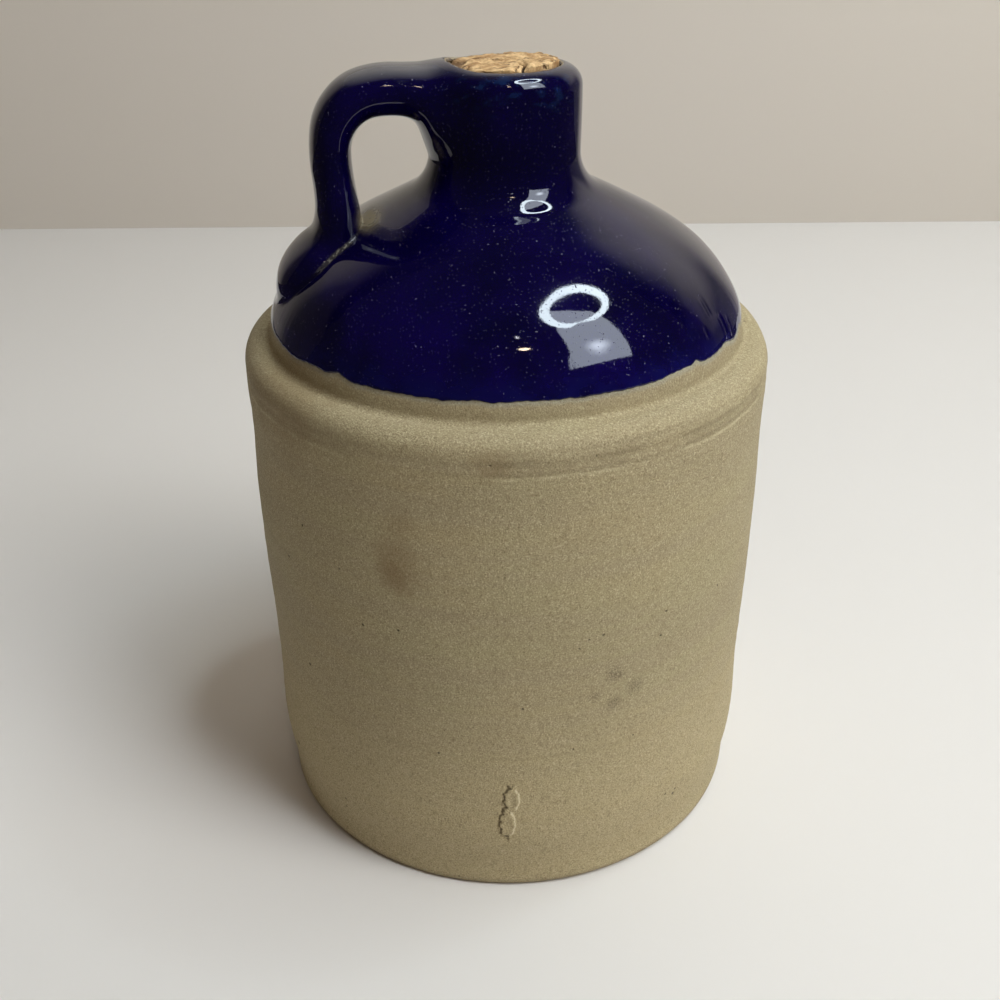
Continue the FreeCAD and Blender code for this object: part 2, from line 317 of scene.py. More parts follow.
def nearest_row(c, skip=9):
    """Row of OUTLINE nearest to each place in c: a rough look, then a close one."""
    d = (c[:, :1] - OUTLINE[None, ::skip, 0]) ** 2 + (c[:, 1:] - OUTLINE[None, ::skip, 1]) ** 2
    i = d.argmin(1)[:, None] * skip + np.arange(-skip, skip + 1)[None]
    i = np.clip(i, 0, len(OUTLINE) - 1)
    d = (c[:, :1] - OUTLINE[i, 0]) ** 2 + (c[:, 1:] - OUTLINE[i, 1]) ** 2
    return i[np.arange(len(c)), d.argmin(1)]


def turned_field(p, chunk=20000):
    """Distance to the turned outline without its bore, and the way out of it."""
    r = np.hypot(p[:, 0], p[:, 1])
    q = np.stack([r, p[:, 2]], 1)
    val, nr = np.empty(len(p)), np.empty((len(p), 2))
    last = len(OUTLINE) - 1
    for s in range(0, len(q), chunk):
        c = q[s:s + chunk]
        i = nearest_row(c)
        best = None
        for k in (np.clip(i - 1, 0, last - 1), np.clip(i, 0, last - 1)):
            a, b = OUTLINE[k], OUTLINE[k + 1]
            ab = b - a
            t = np.clip(((c - a) * ab).sum(1) / np.maximum((ab * ab).sum(1), 1e-12), 0, 1)
            t = t[:, None]
            foot = a + ab * t
            n = unit(OUTLINE_N[k] * (1 - t) + OUTLINE_N[k + 1] * t)
            gap = np.linalg.norm(c - foot, axis=1)
            if best is None:
                best = [gap, foot, n]
            else:
                use = gap < best[0]
                best = [np.where(use, gap, best[0]), np.where(use[:, None], foot, best[1]),
                        np.where(use[:, None], n, best[2])]
        val[s:s + chunk] = ((c - best[1]) * best[2]).sum(1)
        nr[s:s + chunk] = best[2]
    e = p[:, :2] / np.maximum(r, 1e-6)[:, None]
    return val, np.concatenate([e * nr[:, :1], nr[:, 1:]], 1)


def smooth_min(a, ga, b, gb, k):
    """Join two fields with a round of about k, and their ways out with them."""
    h = np.clip(0.5 + 0.5 * (b - a) / k, 0, 1)
    w = h[:, None]
    return b * (1 - h) + a * h - k * h * (1 - h), unit(ga * w + gb * (1 - w))


BORE_FOOT = MOUTH_Z - CORK_DEPTH
BORE_LEAN = math.tan(math.radians(CORK_TAPER))
MOUTH_EASE = 0.9                     # round at the mouth's inner edge
JOIN_TAIL, JOIN_ROOT = 1.0, 4.6      # hollow where the handle meets the dome and the neck
JOIN_CHANGE = (176, 188)             # heights between which one turns into the other


def bore_field(p):
    """Distance to the cork's socket and the way out of it."""
    r = np.hypot(p[:, 0], p[:, 1])
    side = r - (MOUTH_R + (p[:, 2] - MOUTH_Z) * BORE_LEAN)
    foot = BORE_FOOT - p[:, 2]
    e = p[:, :2] / np.maximum(r, 1e-6)[:, None]
    g_side = np.concatenate([e, np.zeros((len(p), 1))], 1)
    use = (side > foot)[:, None]
    return np.maximum(side, foot), np.where(use, g_side, [0.0, 0.0, -1.0])


def glaze_field(p):
    """Distance to the glazed top's skin, the way out, and how near handle and pot meet."""
    a, ga = turned_field(p)
    b, gb = SKIN.field(p)
    k = JOIN_TAIL + (JOIN_ROOT - JOIN_TAIL) * smooth(*JOIN_CHANGE, p[:, 2])
    val, grad = smooth_min(a, ga, b, gb, k)
    c, gc = bore_field(p)
    val, grad = smooth_min(-val, -grad, c, gc, np.full(len(p), MOUTH_EASE))
    return -val, -grad, b - a


# ---------------------------------------------------------------- relief
class Waves:
    """Smooth seeded unevenness: many faint waves in all directions."""

    def __init__(self, long, short, count):
        way = unit(rng.normal(size=(count, 3)))
        size = rng.uniform(short, long, count)
        self.k = way * (2 * np.pi / size)[:, None]
        self.phase = rng.uniform(0, 2 * np.pi, count)
        self.gain = np.sqrt(2 / count)

    def at(self, p):
        return np.sin(p @ self.k.T + self.phase).sum(1) * self.gain


def hump(x, at, wide):
    """1 at one place, falling off to either side."""
    return np.exp(-((x - at) / wide) ** 2)


def turn_gap(bearing, at):
    """Signed degrees from one bearing to another."""
    return (bearing - at + 180) % 360 - 180


EDGE_Z = 146.15                      # height of the glaze's lower edge
# local rises and runs of that edge: bearing, height, width in degrees
EDGE_MARKS = ((-139.3, 1.05, 2.4), (-147, 0.45, 4.0), (-157, -0.4, 3.5), (-131, 0.15, 4),
              (-113.2, -0.3, 1.6), (-106, 0.2, 3.0), (-103.2, -0.25, 1.1), (-96, 0.15, 5),
              (-86.5, 0.15, 1.0), (-59, 0.4, 3.6), (-53.1, 0.75, 0.9), (-55, 0.3, 2.6),
              (-47.2, -0.35, 3.2), (-39.8, 0.65, 2.0), (-33.2, -0.75, 2.8),
              (-27.6, 0.35, 1.6), (-12, -0.5, 4), (4, 0.5, 2), (21, -0.6, 5), (47, 0.4, 3),
              (66, -0.7, 4), (83, 0.6, 1.6), (104, -0.3, 6), (128, 0.5, 3), (151, -0.5, 4),
              (172, 0.4, 5))
edge_wave = [(n, rng.uniform(0, 2 * math.pi), g)
             for n, g in ((2, 0.12), (5, 0.08), (11, 0.06), (23, 0.05), (41, 0.045),
                          (73, 0.045), (131, 0.04), (190, 0.03))]


def edge_height(bearing):
    """Height of the glaze's lower edge at bearings in degrees."""
    z = np.full_like(bearing, EDGE_Z)
    for at, high, wide in EDGE_MARKS:
        z += high * hump(turn_gap(bearing, at), 0, wide)
    for n, phase, g in edge_wave:
        z += g * np.sin(n * np.radians(bearing) + phase)
    return z


def bearing_of(p):
    return np.degrees(np.arctan2(p[:, 1], p[:, 0]))


def above_edge(p):
    return p[:, 2] - edge_height(bearing_of(p))


glaze_swell = Waves(34, 13, 44)
glaze_peel = Waves(7, 3.5, 50)
SWELL_GAIN, PEEL_GAIN = 0.055, 0.0015
BEAD_HIGH, BEAD_WIDE = 0.30, 0.7     # rolled lower edge of the glaze
# ripple at the neck's foot: a crest's radius, wave length, height, bearing and its span
RIPPLE_R, RIPPLE_LONG, RIPPLE_GAIN, RIPPLE_AT, RIPPLE_SPAN = 22.6, 4.9, 0.065, -89.0, 15
RIPPLE_START, RIPPLE_END, RIPPLE_TOP = (20.2, 21.6), (26.5, 29.5), 184   # radii and height
# folds in the glaze above its edge: bearing, lowest, highest, depth, width (mm)
FOLDS = ((-37.6, 147.6, 153.2, 0.38, 0.75), (-34.6, 147.2, 151.6, 0.22, 0.55),
         (-46.5, 150.4, 152.4, 0.16, 0.5), (-41.6, 154.0, 158.0, 0.10, 0.8),
         (58, 147.5, 152, 0.25, 0.8))


def glaze_relief(p):
    """How far the glaze stands off the plain shape."""
    w = above_edge(p)
    bead = BEAD_HIGH * np.sqrt(np.clip(1 - (1 - np.clip(w / BEAD_WIDE, 0, 1)) ** 2, 0, 1))
    h = np.where(w > 0, bead, np.maximum(w * 3.0, -0.6))
    h = h * (1 - smooth(2.0, 9.0, w))
    r = np.hypot(p[:, 0], p[:, 1])
    th = bearing_of(p)
    for at, lo, hi, deep, wide in FOLDS:
        across = np.radians(turn_gap(th, at)) * r
        span = smooth(lo - 0.6, lo + 0.6, p[:, 2]) * (1 - smooth(hi - 1.5, hi + 1, p[:, 2]))
        # a groove with a lower ridge beside it
        h = h - deep * (hump(across, 0, wide) - 0.4 * hump(across, -1.9 * wide, wide)) * span
    even = SWELL_GAIN * glaze_swell.at(p) + PEEL_GAIN * glaze_peel.at(p)
    h = h + even * smooth(0.4, 3, w)
    ripple = np.cos(2 * np.pi * (r - RIPPLE_R) / RIPPLE_LONG)
    ripple = ripple * smooth(*RIPPLE_START, r) * (1 - smooth(*RIPPLE_END, r))
    ripple = ripple * hump(turn_gap(th, RIPPLE_AT), 0, RIPPLE_SPAN) * (p[:, 2] < RIPPLE_TOP)
    return h + RIPPLE_GAIN * ripple


def slope_of(fn, p, step=0.05):
    """Gradient of a field at points, by small steps."""
    g = np.empty_like(p)
    for i in range(3):
        d = np.zeros(3)
        d[i] = step
        g[:, i] = (fn(p + d) - fn(p - d)) / (2 * step)
    return g


# the mouth leans back: height falls by this much for each mm away from the camera
MOUTH_LEAN = 0.031
LEAN_SPAN = (188, 205)               # heights between which the lean grows to its full size
LEAN_WAY = np.array([-math.sin(FIT_TURN), math.cos(FIT_TURN)])


def lean_mouth(p, n):
    """Points and normals with the upper neck leaned back."""
    s = smooth(*LEAN_SPAN, p[:, 2])
    back = p[:, :2] @ LEAN_WAY
    out = p.copy()
    out[:, 2] -= MOUTH_LEAN * back * s
    step = 0.01
    dz = 1 - MOUTH_LEAN * back * (smooth(*LEAN_SPAN, p[:, 2] + step) - s) / step
    nz = n[:, 2] / dz
    n = np.concatenate([n[:, :2] + MOUTH_LEAN * s[:, None] * LEAN_WAY * nz[:, None],
                        nz[:, None]], 1)
    return out, unit(n)


# ---------------------------------------------------------------- mesh helpers
def mesh_object(name, pts, faces, normals=None):
    me = bpy.data.meshes.new(name)
    me.from_pydata((np.asarray(pts) * MM).tolist(), [], [list(map(int, f)) for f in faces])
    me.polygons.foreach_set("use_smooth", [True] * len(me.polygons))
    if normals is not None:
        me.normals_split_custom_set_from_vertices(normals.tolist())
    ob = bpy.data.objects.new(name, me)
    bpy.context.scene.collection.objects.link(ob)
    return ob


def store(ob, name, values):
    ob.data.attributes.new(name, "FLOAT", "POINT").data.foreach_set(
        "value", np.asarray(values, dtype=np.float32))


def face_outward(ob):
    bm = bmesh.new()
    bm.from_mesh(ob.data)
    bmesh.ops.recalc_face_normals(bm, faces=bm.faces)
    bm.to_mesh(ob.data)
    bm.free()


# ---------------------------------------------------------------- glazed top
UNDERSIDE_Z, UNDERSIDE_CUT = 143.2, 144.4   # the rough skin's flat underside, and above it
VOXEL = 0.70
# rows of the mesh along the glaze's lower edge: heights above it, the first being its end
EDGE_ROWS = (-0.5, -0.14, 0.0, 0.12, 0.32, 0.62, 1.0)
EDGE_BAND = 1.6                      # the mesh is twice as fine this close to the edge
HUB_DROP = 1.2                       # middle of the hidden underside, below the edge


def rough_glaze():
    """Voxel skin of the turned part and handle together, to be fitted to glaze_field."""
    turns = 320
    keep = OUTLINE[(OUTLINE[:, 1] > UNDERSIDE_Z) & (OUTLINE[:, 0] > MOUTH_R + 0.6)][::6]
    body = np.concatenate([[[keep[0, 0], UNDERSIDE_Z]], keep,
                           [[MOUTH_R + 0.3, MOUTH_Z - 0.1], [MOUTH_R, MOUTH_Z - 0.5],
                            [MOUTH_R - 0.85, BORE_FOOT]]])
    pts = np.concatenate([swept(body, directions(360 * np.arange(turns) / turns)),
                          [[0, 0, UNDERSIDE_Z], [0, 0, BORE_FOOT]]])
    faces = capped_faces(len(body), turns)
    grid = handle_grid(ROOT_IN, step=0.8)
    n, m = grid.shape[:2]
    off = len(pts)
    faces += (grid_faces(n, m) + off).tolist()
    faces.append([off + j for j in range(m)])
    faces.append([off + (n - 1) * m + j for j in range(m)][::-1])
    ob = mesh_object("rough", np.concatenate([pts, grid.reshape(-1, 3)]), faces)
    face_outward(ob)
    mod = ob.modifiers.new("voxels", "REMESH")
    mod.mode, mod.voxel_size = "VOXEL", VOXEL * MM
    me = bpy.data.meshes.new_from_object(ob.evaluated_get(
        bpy.context.evaluated_depsgraph_get()))
    bpy.data.objects.remove(ob)
    return me


def points_of(bm):
    return np.array([v.co[:] for v in bm.verts])


def set_points(bm, pts):
    for v, q in zip(bm.verts, pts.tolist()):
        v.co = q


def fit_to_field(p, rounds, stride=0.8):
    """Walk points onto the exact skin, by at most one stride a round."""
    for _ in range(rounds):
        val, grad, _ = glaze_field(p)
        p = p - np.clip(val, -stride, stride)[:, None] * grad
    return p


def make_glaze():
    bm = bmesh.new()
    bm.from_mesh(rough_glaze())
    # the flat underside goes first: the fit would lift its middle off the rest
    p = points_of(bm) / MM
    inner = (p[:, 2] < UNDERSIDE_CUT) & (np.hypot(p[:, 0], p[:, 1]) < DOME_FOOT_R - 3)
    bmesh.ops.delete(bm, geom=[v for v, cut in zip(bm.verts[:], inner) if cut],
                     context="VERTS")
    set_points(bm, fit_to_field(points_of(bm) / MM, 6))
    # finer rows along the lower edge, cut at set heights above it
    p = points_of(bm)
    w = above_edge(p)
    bm.verts.ensure_lookup_table()
    near = [e for e in bm.edges if all(abs(w[v.index]) < EDGE_BAND for v in e.verts)]
    bmesh.ops.subdivide_edges(bm, edges=near, cuts=1, use_grid_fill=True)
    p = points_of(bm)
    p[:, 2] = above_edge(p)
    set_points(bm, p)
    for level in EDGE_ROWS:
        geom = bm.verts[:] + bm.edges[:] + bm.faces[:]
        bmesh.ops.bisect_plane(bm, geom=geom, dist=0.02, plane_co=(0, 0, level),
                               plane_no=(0, 0, 1), clear_inner=level == EDGE_ROWS[0])
    p = points_of(bm)
    p[:, 2] += edge_height(bearing_of(p))
    set_points(bm, p)
    rim = [e for e in bm.edges if e.is_boundary]
    foot = bm.verts.new((0, 0, EDGE_Z - HUB_DROP))
    for e in rim:
        bm.faces.new((e.verts[0], e.verts[1], foot))
    bmesh.ops.triangulate(bm, faces=bm.faces[:])
    bmesh.ops.recalc_face_normals(bm, faces=bm.faces[:])
    bm.verts.index_update()
    p = points_of(bm)
    faces = [[v.index for v in f.verts] for f in bm.faces]
    hub = foot.index
    bm.free()
    foot_at = p[hub].copy()
    p = fit_to_field(p, 2)
    _, n, meet = glaze_field(p)
    w = above_edge(p)
    g = slope_of(glaze_relief, p)
    g -= (g * n).sum(1)[:, None] * n
    p = p + n * glaze_relief(p)[:, None]
    n = unit(n - np.where(w[:, None] > -0.05, g, 0))
    p, n = lean_mouth(p, n)
    p[hub], n[hub] = foot_at, (0, 0, -1)
    ob = mesh_object("glaze_top", p, faces, n)
    store(ob, "edge", w)
    store(ob, "meet", np.clip(meet, -20, 20))
    return ob


# ---------------------------------------------------------------- clay body
CLAY_TOP_Z = 153.5                   # the clay goes on this far up under the glaze


def clay_outline():
    """Outline of the bare pot, from the base's middle up under the glaze."""
    top = SHOULDER_Z - SHOULDER_ROUND
    z = [FOOT_H] + [FOOT_H + s * (top - FOOT_H) for s, _ in WALL_LINE] + [top]
    r = [FOOT_R] + [WALL_R - i for _, i in WALL_LINE] + [WALL_R - SHOULDER_IN]
    fine = np.linspace(z[0], z[-1], 900)
    wall = spline_rows(np.array(z), np.array(r), fine, level_ends=True)
    base = np.stack([np.linspace(0.5, FOOT_R - FOOT_ROUND, 30)[:-1], np.zeros(29)], 1)
    foot = arc_points(FOOT_R - FOOT_ROUND, FOOT_ROUND, FOOT_ROUND, -90, 0, 20)
    side = np.stack([np.full(8, FOOT_R), np.linspace(FOOT_ROUND, FOOT_H, 9)[1:]], 1)
    walls = np.stack([wall, fine], 1)[1:]
    shoulder = arc_points(STEP_X, top, SHOULDER_ROUND, 0, 90, 60)[1:]
    hollow = arc_points(STEP_X - STEP_FLAT, SHOULDER_Z + DOME_FOOT_ROUND, DOME_FOOT_ROUND, 270,
                        270 - math.degrees(FOOT_TURN), 30)
    dome = dome_at(np.linspace(0, 1, DOME_STEPS))
    dome = dome[dome[:, 1] < CLAY_TOP_Z][1:]
    return np.concatenate([base, foot, side, walls, shoulder, hollow, dome])


SCAR_AT = -100.3                     # bearing of the flake scar low on the wall
# lobes of the scar: bearing, height, half width and half height in mm
SCAR_LOBES = ((-99.35, 34.1, 2.05, 4.1), (-100.3, 25.7, 2.1, 5.0))
SCAR_STEP, SCAR_HOLLOW, SCAR_GROOVE = 0.42, 0.14, 0.30   # its rim, middle and shaded side


def scar_shape(p):
    """Distance inside the flake scar's rim, in mm, and place across it."""
    th, z = bearing_of(p), p[:, 2]
    best = np.full(len(p), -9.0)
    ragged = 0.22 * np.sin(z * 2.3 + 0.6) + 0.16 * np.sin(z * 4.9 + 1.1)
    side = np.zeros(len(p))
    for at, zc, hw, hh in SCAR_LOBES:
        x = np.radians(turn_gap(th, at)) * WALL_R
        y = z - zc
        rim = np.sqrt((x / hw) ** 2 + (y / hh) ** 2)
        inside = (1 - rim) * hw + ragged * np.where(x < 0, 1.0, 0.4)
        side = np.where(inside > best, x / hw, side)
        best = np.maximum(best, inside)
    return best, side


clay_swell = Waves(60, 24, 30)
clay_rings = Waves(7, 2.2, 30)
# the rings lie almost level, 2.2 to 9 mm apart
clay_rings.k[:, :2] *= 0.02
clay_rings.k[:, 2] = np.sign(clay_rings.k[:, 2]) * 2 * np.pi / rng.uniform(2.2, 9, 30)
clay_grit = Waves(3.6, 1.9, 60)
SWELL_HIGH, RINGS_HIGH, GRIT_HIGH = 0.10, 0.020, 0.010
UNDER_GLAZE = 0.55                   # the clay dips this far where the glaze sits on it
PLAIN_FROM = (148.5, 150.5)          # hidden clay above this has no relief of its own
# turning marks round the wall: height, depth, width in mm, bearing and span in degrees
TURN_MARKS = ((131.2, 0.26, 0.55, -78, 52), (133.6, 0.20, 0.7, -92, 60),
              (136.6, 0.15, 0.6, -70, 26), (129.4, 0.12, 0.7, -60, 60),
              (92.5, 0.05, 0.5, -75, 30), (47.5, 0.06, 0.6, -88, 24),
              (131.8, 0.12, 0.8, 70, 80), (60, 0.06, 0.8, 120, 60))
# small pits, painted dark as their shade: bearing, height, width in mm
PITS = ((-86.2, 49.4, 0.75), (-58.8, 19.5, 0.8), (-58.2, 20.9, 0.5), (-80.6, 85.2, 0.75),
        (-83.6, 84.6, 0.55), (-103.1, 134.4, 0.6), (-65.6, 86.3, 0.6), (-150.4, 59.7, 0.8),
        (-162.3, 21.3, 1.0), (-85.6, 82.3, 0.5), (-116.3, 133.6, 0.5), (-86.4, 46.0, 0.45),
        (-66.5, 79.0, 0.5), (-72.0, 49.0, 0.55), (35, 96, 0.8), (110, 40, 0.7),
        (168, 120, 0.6), (74, 22, 0.8))


def clay_relief(p):
    th, z = bearing_of(p), p[:, 2]
    bare = 1 - smooth(*PLAIN_FROM, z)
    h = (SWELL_HIGH * clay_swell.at(p) + RINGS_HIGH * clay_rings.at(p)
         + GRIT_HIGH * clay_grit.at(p))
    for at, deep, wide, mid, span in TURN_MARKS:
        drift = at + 0.35 * np.sin(np.radians(th * 2 + at * 7))
        h -= deep * hump(z, drift, wide) * np.exp(-(turn_gap(th, mid) / span) ** 4)
    inside, side = scar_shape(p)
    sharp = np.where(side < 0, smooth(-0.12, 0.22, inside), smooth(-0.3, 0.7, inside))
    h += SCAR_STEP * sharp - SCAR_HOLLOW * smooth(0.7, 1.7, inside)
    h -= SCAR_GROOVE * hump(inside, -0.35, 0.28) * (side < 0.1)
    under = smooth(0.2, 1.3, above_edge(p))
    h = h * bare * (1 - under) - UNDER_GLAZE * under
    return h * smooth(0.0, 3.0, z)


def clay_columns():
    """Bearings of the clay grid's columns, closer together over the flake scar."""
    fine = np.linspace(SCAR_AT - 3.2, SCAR_AT + 3.8, 47)[:-1]
    rest = np.linspace(SCAR_AT + 3.8, SCAR_AT + 360 - 3.2, 391)[:-1]
    return np.concatenate([fine, rest])


def clay_rows(outline):
    """Outline resampled, closer together at the scar, the shoulder and the glaze."""
    length = run_length(outline)
    z, r = outline[:, 1], outline[:, 0]
    gap = np.where((z > 19) & (z < 40), 0.36, 1.75)
    gap = np.where((z > 126) & (z < 139), 0.62, gap)
    gap = np.where(z >= 139, 0.5, gap)
    gap = np.where(z < 2.5, 0.9, gap)
    gap = np.where((z < 0.01) & (r < FOOT_R - 4), 6.0, gap)
    count = np.concatenate([[0], np.cumsum(np.diff(length) / gap[1:])])
    at = np.linspace(0, count[-1], int(count[-1]) + 1)
    s = np.interp(at, count, length)
    return np.stack([np.interp(s, length, r), np.interp(s, length, z)], 1)


def make_clay():
    outline = clay_rows(clay_outline())
    normals = outline_normals(outline)
    th = clay_columns()
    ring = directions(th)
    rows, cols = len(outline), len(th)
    p, n = swept(outline, ring), swept(normals, ring)
    w = above_edge(p)
    p = p + n * clay_relief(p)[:, None]
    # the middles of the base and of the hidden lid
    p = np.concatenate([p, [[0, 0, 0], [0, 0, outline[-1, 1] - 3]]])
    ob = mesh_object("clay_body", p, capped_faces(rows, cols))
    store(ob, "edge", np.concatenate([w, [-150, 5]]))
    # the scar's shaded side counts up, its lit side down
    inside, side = scar_shape(p)
    dark = hump(inside, -0.10, 0.20) * (side < 0.1)
    lit = hump(inside, 0.15, 0.22) * (side > 0.35) * 0.8
    store(ob, "scar", (dark - lit) * (p[:, 2] > 5))
    # one map: bearing across, length up the outline
    length = run_length(outline)
    v = np.concatenate([np.repeat(length / length[-1], cols), [0, 1]])
    u = np.concatenate([np.tile((th - th[0]) / 360, rows), [0.5, 0.5]])
    layer = ob.data.uv_layers.new(name="OFBake")
    loops = np.empty(len(ob.data.loops), dtype=np.int64)
    ob.data.loops.foreach_get("vertex_index", loops)
    uv = np.stack([u[loops], v[loops]], 1)
    for poly in ob.data.polygons:
        s = slice(poly.loop_start, poly.loop_start + poly.loop_total)
        row = uv[s, 0]
        if poly.loop_total == 3:
            row[0] = row[1]
        if row.max() - row.min() > 0.5:
            row[row < 0.5] += 1
        uv[s, 0] = row
    layer.data.foreach_set("uv", (uv * [0.998, 0.998]).astype(np.float32).ravel())
    return ob


# ---------------------------------------------------------------- cork
CORK_TOP_Z, CORK_TILT = 207.85, 0.030
cork_lumps = Waves(5.5, 2.2, 50)
cork_grain = Waves(1.5, 0.7, 70)
LUMPS_HIGH, GRAIN_HIGH = 0.095, 0.035
# cracks in the cork's top, in the camera's frame: start, end, depth, width
CRACKS = (((4.3, -12.6), (4.9, -9.2), 2.2, 0.28), ((4.9, -9.2), (3.5, -6.0), 0.9, 0.3),
          ((2.6, -12.8), (3.2, -10.0), 1.0, 0.25),
          ((-10.2, -8.0), (-8.9, -3.4), 1.7, 0.3), ((-8.6, -9.8), (-8.2, -6.2), 1.2, 0.25),
          ((-12.8, -2.6), (-11.4, -0.4), 1.4, 0.45), ((-11.8, -6.2), (-10.9, -3.0), 1.3, 0.40),
          ((11.0, -6.6), (11.6, -2.6), 1.5, 0.35), ((12.0, -4.6), (12.6, 0.4), 1.3, 0.35),
          ((-2.6, 1.6), (1.0, 0.8), 0.5, 0.3), ((3.4, 1.2), (5.6, 0.8), 0.4, 0.25),
          ((-5.6, 11.4), (-0.8, 12.4), 0.9, 0.5), ((6.0, 6.0), (9.0, 4.8), 0.4, 0.3),
          ((-7.0, 4.0), (-4.6, 6.4), 0.5, 0.35))


def crack_depth(x, y):
    d = np.zeros_like(x)
    wob = 0.25 * np.sin(x * 3.1 + 1.7 * y) + 0.18 * np.sin(y * 5.3 - x)
    for (x0, y0), (x1, y1), deep, wide in CRACKS:
        ax, ay = x1 - x0, y1 - y0
        t = np.clip(((x - x0) * ax + (y - y0) * ay) / (ax * ax + ay * ay), 0, 1)
        gap = np.hypot(x - x0 - ax * t + wob * 0.5, y - y0 - ay * t + wob * 0.3)
        d = np.maximum(d, deep * hump(gap, 0, wide))
    return d


def cork_top(x, y):
    """Height of the cut top at places in the camera's frame."""
    h = CORK_TOP_Z + CORK_TILT * (x - y)
    # a chip raised in front, another broken away at the left, and a low left end
    h += 0.50 * smooth(3.9, 4.6, x + 0.12 * y) * (1 - smooth(-7.0, 1.0, y))
    h -= 0.9 * smooth(8.9, 9.8, -x + 0.15 * y) * (1 - smooth(1, 5, y))
    h -= 0.35 * smooth(-9.5, -12.5, x * 0.6 + y * 0.2)
    q = np.stack([x, y, np.zeros_like(x)], 1)
    h += LUMPS_HIGH * cork_lumps.at(q) + GRAIN_HIGH * cork_grain.at(q)
    around = np.arctan2(y, x)
    ragged = 0.55 + 0.24 * np.sin(around * 5 + 1) + 0.14 * np.sin(around * 13)
    h -= ragged * smooth(12.2, 13.4, np.hypot(x, y)) * 0.8
    return h - crack_depth(x, y)


def make_cork():
    turns, rings, lows = 200, 56, 16
    a = 2 * np.pi * np.arange(turns) / turns
    rim = MOUTH_R - 0.25 + 0.10 * np.sin(3 * a + 1) + 0.06 * np.sin(8 * a) \
        + 0.05 * np.sin(21 * a + 2)
    share = np.linspace(0.02, 1, rings) ** 0.85
    x = (share[:, None] * rim * np.cos(a)).ravel()
    y = (share[:, None] * rim * np.sin(a)).ravel()
    # the top is laid out in the camera's frame, then turned into the CAD's
    top = np.stack([x, y, cork_top(x, y)], 1)[::-1].reshape(rings, turns, 3)[:, ::-1]
    foot_z = BORE_FOOT + 0.05
    side = []
    for k in range(1, lows + 1):
        t = (k / lows) ** 1.6
        ring = top[0].copy()
        ring[:, 2] = ring[:, 2] * (1 - t) + foot_z * t
        slim = 1 - (ring[:, 2] < MOUTH_Z) * (MOUTH_Z - ring[:, 2]) * BORE_LEAN / MOUTH_R
        ring[:, :2] *= slim[:, None]
        rough = 0.10 * cork_lumps.at(ring) - 0.10
        ring[:, :2] += unit(ring[:, :2]) * rough[:, None] * (1 - t)
        side.append(ring)
    grid = np.concatenate([top[::-1], np.array(side)])
    n, m = grid.shape[:2]
    middle = cork_top(np.zeros(1), np.zeros(1))[0]
    p = np.concatenate([grid.reshape(-1, 3), [[0, 0, middle], [0, 0, foot_z]]])
    crack = crack_depth(p[:, 0], p[:, 1]) * (p[:, 2] > MOUTH_Z - 3)
    c, s = math.cos(FIT_TURN), math.sin(FIT_TURN)
    p[:, :2] = p[:, :2] @ np.array([[c, s], [-s, c]])
    ob = mesh_object("cork_stopper", p, capped_faces(n, m))
    store(ob, "crack", crack)
    face_outward(ob)
    return ob


glaze = make_glaze()
clay = make_clay()
cork = make_cork()

